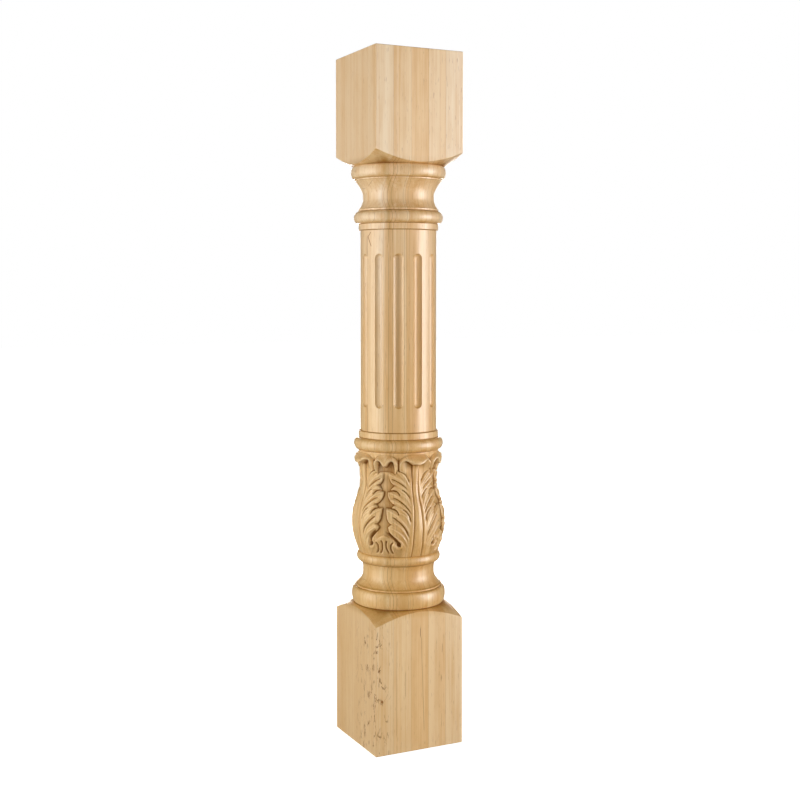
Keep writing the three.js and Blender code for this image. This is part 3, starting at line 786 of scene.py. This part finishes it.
    # glue lines
    joint = g.math("ABSOLUTE", g.math("SUBTRACT", g.math("FRACT", g.add(g.mul(across, 5.0), 0.5)), 0.5))
    col = g.mix(g.mul(g.step(joint, 0.014, 0.004), 0.4), col, lin(176, 128, 70))
    # yellower towards the foot
    low = g.step(z, 0.74, 0.26)
    col = g.mix(low, col, g.mix(1.0, col, (0.92, 0.83, 0.60, 1), "MULTIPLY"))
    # painted light and sheen: the square ends painted paler and whiter than the turned parts
    col = g.mix(g.step(z, 0.768, 0.778), col, g.mix(1.0, col, (1.09, 1.14, 1.24, 1), "MULTIPLY"))
    col = g.mix(g.step(z, 0.182, 0.172), col, g.mix(1.0, col, (1.12, 1.24, 1.62, 1), "MULTIPLY"))
    # painted light: the left faces of the square ends painted lighter still
    col = g.mix(g.mul(g.step(x, -0.0628, -0.0633), ends), col, g.mix(1.0, col, (1.13, 1.15, 1.15, 1), "MULTIPLY"))
    # streaks and flecks on the foot, and a check at the top of the shaft
    def window(v, a, b, e):
        return g.mul(g.step(v, a, a + e), g.step(v, b, b - e))

    face = g.step(y, -0.056, -0.062)
    for x0, lean, half, z0, z1, amount in ((0.0010, 0.0, 0.0008, 0.146, 0.164, 0.75), (0.0022, -0.034, 0.00045, 0.022, 0.152, 0.55),
                                           (-0.0210, 0.0, 0.00045, 0.070, 0.108, 0.5), (0.0335, 0.02, 0.0006, 0.122, 0.139, 0.5),
                                           (-0.0330, 0.01, 0.0005, 0.020, 0.150, 0.35)):
        at = g.add(g.math("MULTIPLY_ADD", g.math("SUBTRACT", z, z1), lean, x0), g.math("MULTIPLY_ADD", cloud, 0.0016, -0.0008))
        m = g.mul(g.step(g.math("ABSOLUTE", g.math("SUBTRACT", x, at)), half, half * 0.3), g.mul(window(z, z0, z1, 0.006), face))
        col = g.mix(g.mul(m, amount), col, lin(138, 66, 10))
    near = g.add(g.mul(g.add(x, 0.0635), 1 / 0.027), g.mul(g.add(y, 0.0635), 1 / 0.075))
    zone = g.mul(g.step(near, 1.0, 0.3), g.step(z, 0.176, 0.150))
    v = g.node("ShaderNodeVectorMath", {0: place, 1: (165, 165, 38)}, operation="MULTIPLY").outputs[0]
    thread = g.math("ABSOLUTE", g.math("SUBTRACT", g.noise(v, 1.0, 3.0, 0.6, 0.8), 0.5))
    v = g.node("ShaderNodeVectorMath", {0: place, 1: (95, 95, 60)}, operation="MULTIPLY").outputs[0]
    fleck = g.mul(g.mul(g.step(thread, 0.028, 0.010), g.step(g.noise(v, 1.0, 1.0), 0.50, 0.60)), zone)
    col = g.mix(g.mul(fleck, 0.85), col, lin(128, 62, 12))
    around = g.mul(g.add(g.math("ARCTAN2", x, g.mul(y, -1.0)), math.radians(73)), 0.0508)
    bend = g.add(g.node("ShaderNodeMapRange", {"Value": z, "From Min": 0.660, "From Max": 0.672, "To Min": 0.0015, "To Max": -0.0045}).outputs[0],
                 g.node("ShaderNodeMapRange", {"Value": z, "From Min": 0.672, "From Max": 0.677, "To Min": 0.0, "To Max": 0.0050}).outputs[0])
    off = g.math("ABSOLUTE", g.math("SUBTRACT", g.add(around, g.math("MULTIPLY_ADD", cloud, 0.002, -0.001)), bend))
    check = g.mul(g.mul(g.step(off, 0.0010, 0.0003), window(z, 0.6585, 0.6790, 0.002)), 0.8)
    col = g.mix(check, col, lin(140, 68, 12))
    # cut across the grain the wood is darker and warmer
    uncarved = g.math("MULTIPLY_ADD", window(z, 0.252, 0.390, 0.001), -1.0, 1.0)
    end = g.mul(g.mul(g.step(slope, 0.35, 1.0), 0.85), uncarved)
    col = g.mix(end, col, g.mix(1.0, col, (0.88, 0.75, 0.46, 1), "MULTIPLY"))
    # painted shade: faces turned downwards are painted darker and yellower
    below = g.mul(g.step(lean, -0.3, -0.7), uncarved)
    col = g.mix(below, col, g.mix(1.0, col, (0.94, 0.83, 0.55, 1), "MULTIPLY"))
    # painted shade in the cuts and painted highlight on the crests and hoods, both from the hollow attribute
    hollow = g.node("ShaderNodeAttribute", attribute_name="hollow").outputs["Fac"]
    painted_highlight = g.math("MULTIPLY", hollow, -0.6, clamp=True)
    hollow = g.math("MULTIPLY", hollow, 1.0, clamp=True)
    col = g.mix(painted_highlight, col, lin(246, 218, 172))
    col = g.mix(g.mul(hollow, 0.88), col, lin(116, 67, 12))
    g.put(shader.inputs["Base Color"], col)
    rough = g.add(g.mul(bands, 0.14), 0.40)
    rough = g.add(rough, g.mul(hollow, 0.25))
    g.put(shader.inputs["Roughness"], rough)
    dull = g.math("SUBTRACT", 1.0, g.math("MAXIMUM", g.mul(hollow, 2.5), g.math("MAXIMUM", fleck, check)), clamp=True)
    g.put(shader.inputs["Specular IOR Level"], g.math("MULTIPLY_ADD", dull, 0.42, 0.08))
    g.put(shader.inputs["Coat Weight"], g.mul(dull, 0.5))
    shader.inputs["Coat Roughness"].default_value = 0.34
    height = g.add(g.mul(fibre, 0.6), g.mul(bands, 0.3))
    height = g.math("SUBTRACT", height, g.mul(pore, 0.4))
    bump = g.node("ShaderNodeBump", {"Strength": 0.25, "Distance": 0.0003, "Height": height})
    g.put(shader.inputs["Normal"], bump.outputs[0])
    return mat


mesh.materials.append(maple())
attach(post, "root")
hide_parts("post")

# ---------------- floor, light and camera ----------------
floor_mesh = bpy.data.meshes.new("floor")
s = 12.0
floor_mesh.from_pydata([(-s, -s, 0), (s, -s, 0), (s, s, 0), (-s, s, 0)], [], [(0, 1, 2, 3)])
floor = bpy.data.objects.new("floor", floor_mesh)
bpy.context.collection.objects.link(floor)
pale_mat = bpy.data.materials.new("pale_floor")
pale_mat.use_nodes = True
p = pale_mat.node_tree.nodes["Principled BSDF"]
p.inputs["Base Color"].default_value = (0.9, 0.9, 0.9, 1)
p.inputs["Roughness"].default_value = 0.9
p.inputs["Specular IOR Level"].default_value = 0.1
fg = Graph(pale_mat.node_tree)
spot = fg.node("ShaderNodeVectorMath", {0: fg.node("ShaderNodeTexCoord").outputs["Object"]}, operation="LENGTH").outputs["Value"]
p.inputs["Emission Color"].default_value = (1, 1, 1, 1)
fg.put(p.inputs["Emission Strength"], fg.math("MULTIPLY_ADD", fg.step(spot, 0.15, 0.9), 0.25, 0.8))
floor_mesh.materials.append(pale_mat)
floor.visible_diffuse = False
floor.visible_glossy = False

VIEW_AZ = -26.181


def softbox(name, turn_deg, dist, z, wide, tall, power, aim=0.47, colour=(1, 1, 1), shine=True, fill=True):
    data = bpy.data.lights.new(name, "AREA")
    data.shape = "RECTANGLE"
    data.size, data.size_y = wide, tall
    data.energy = power
    data.color = colour
    ob = bpy.data.objects.new(name, data)
    t = math.radians(VIEW_AZ + turn_deg)
    ob.location = (math.sin(t) * dist, -math.cos(t) * dist, z)
    ob.rotation_euler = (math.pi / 2 - math.atan2(z - aim, dist), 0, t)
    ob.visible_camera = False
    ob.visible_glossy = shine
    ob.visible_diffuse = fill
    bpy.context.collection.objects.link(ob)


softbox("softbox_right", 77, 1.7, 0.46, 0.9, 1.3, 22)
softbox("sheen_right", 77, 1.7, 0.46, 0.7, 1.3, 26, fill=False)
softbox("softbox_left", -70, 1.7, 0.46, 0.9, 1.3, 5)
softbox("sheen_left", -72, 1.7, 0.46, 0.7, 1.3, 5, fill=False)
softbox("softbox_side", -74, 1.7, 0.46, 1.0, 1.3, 20, shine=False)
softbox("softbox_front", 3, 2.6, 0.42, 2.0, 1.6, 32, colour=(1.0, 0.955, 0.88), shine=False)
softbox("softbox_back", 180, 2.0, 0.46, 0.9, 1.2, 34)

world = bpy.data.worlds.new("studio")
bpy.context.scene.world = world
world.use_nodes = True
wt = world.node_tree
wt.nodes.clear()
wg = Graph(wt)
up = wg.node("ShaderNodeSeparateXYZ", {0: wg.node("ShaderNodeTexCoord").outputs["Generated"]}).outputs[2]
level = wg.math("MULTIPLY_ADD", wg.step(up, 0.12, -0.12), 0.09, 0.07)
dim = wg.node("ShaderNodeBackground", {"Color": (1.0, 0.80, 0.54, 1), "Strength": level})
white = wg.node("ShaderNodeBackground", {"Color": (1, 1, 1, 1), "Strength": 1.0})
ray = wg.node("ShaderNodeLightPath")
both = wg.node("ShaderNodeMixShader", {0: ray.outputs["Is Camera Ray"], 1: dim.outputs[0], 2: white.outputs[0]})
wt.links.new(both.outputs[0], wg.node("ShaderNodeOutputWorld").inputs[0])

scene = bpy.context.scene
scene.view_settings.view_transform = "Standard"
scene.view_settings.look = "None"
cam_data = bpy.data.cameras.new("camera")
cam_data.sensor_width = 36.0
cam_data.lens = 56.492
cam_data.shift_x = 0.00201
cam_data.shift_y = -0.08941
cam_data.clip_end = 60.0
cam = bpy.data.objects.new("camera", cam_data)
t = math.radians(VIEW_AZ)
cam.location = (math.sin(t) * 1.68427, -math.cos(t) * 1.68427, 0.6011)
cam.rotation_euler = (math.radians(90 - 1.722), 0, t)
bpy.context.collection.objects.link(cam)
scene.camera = cam
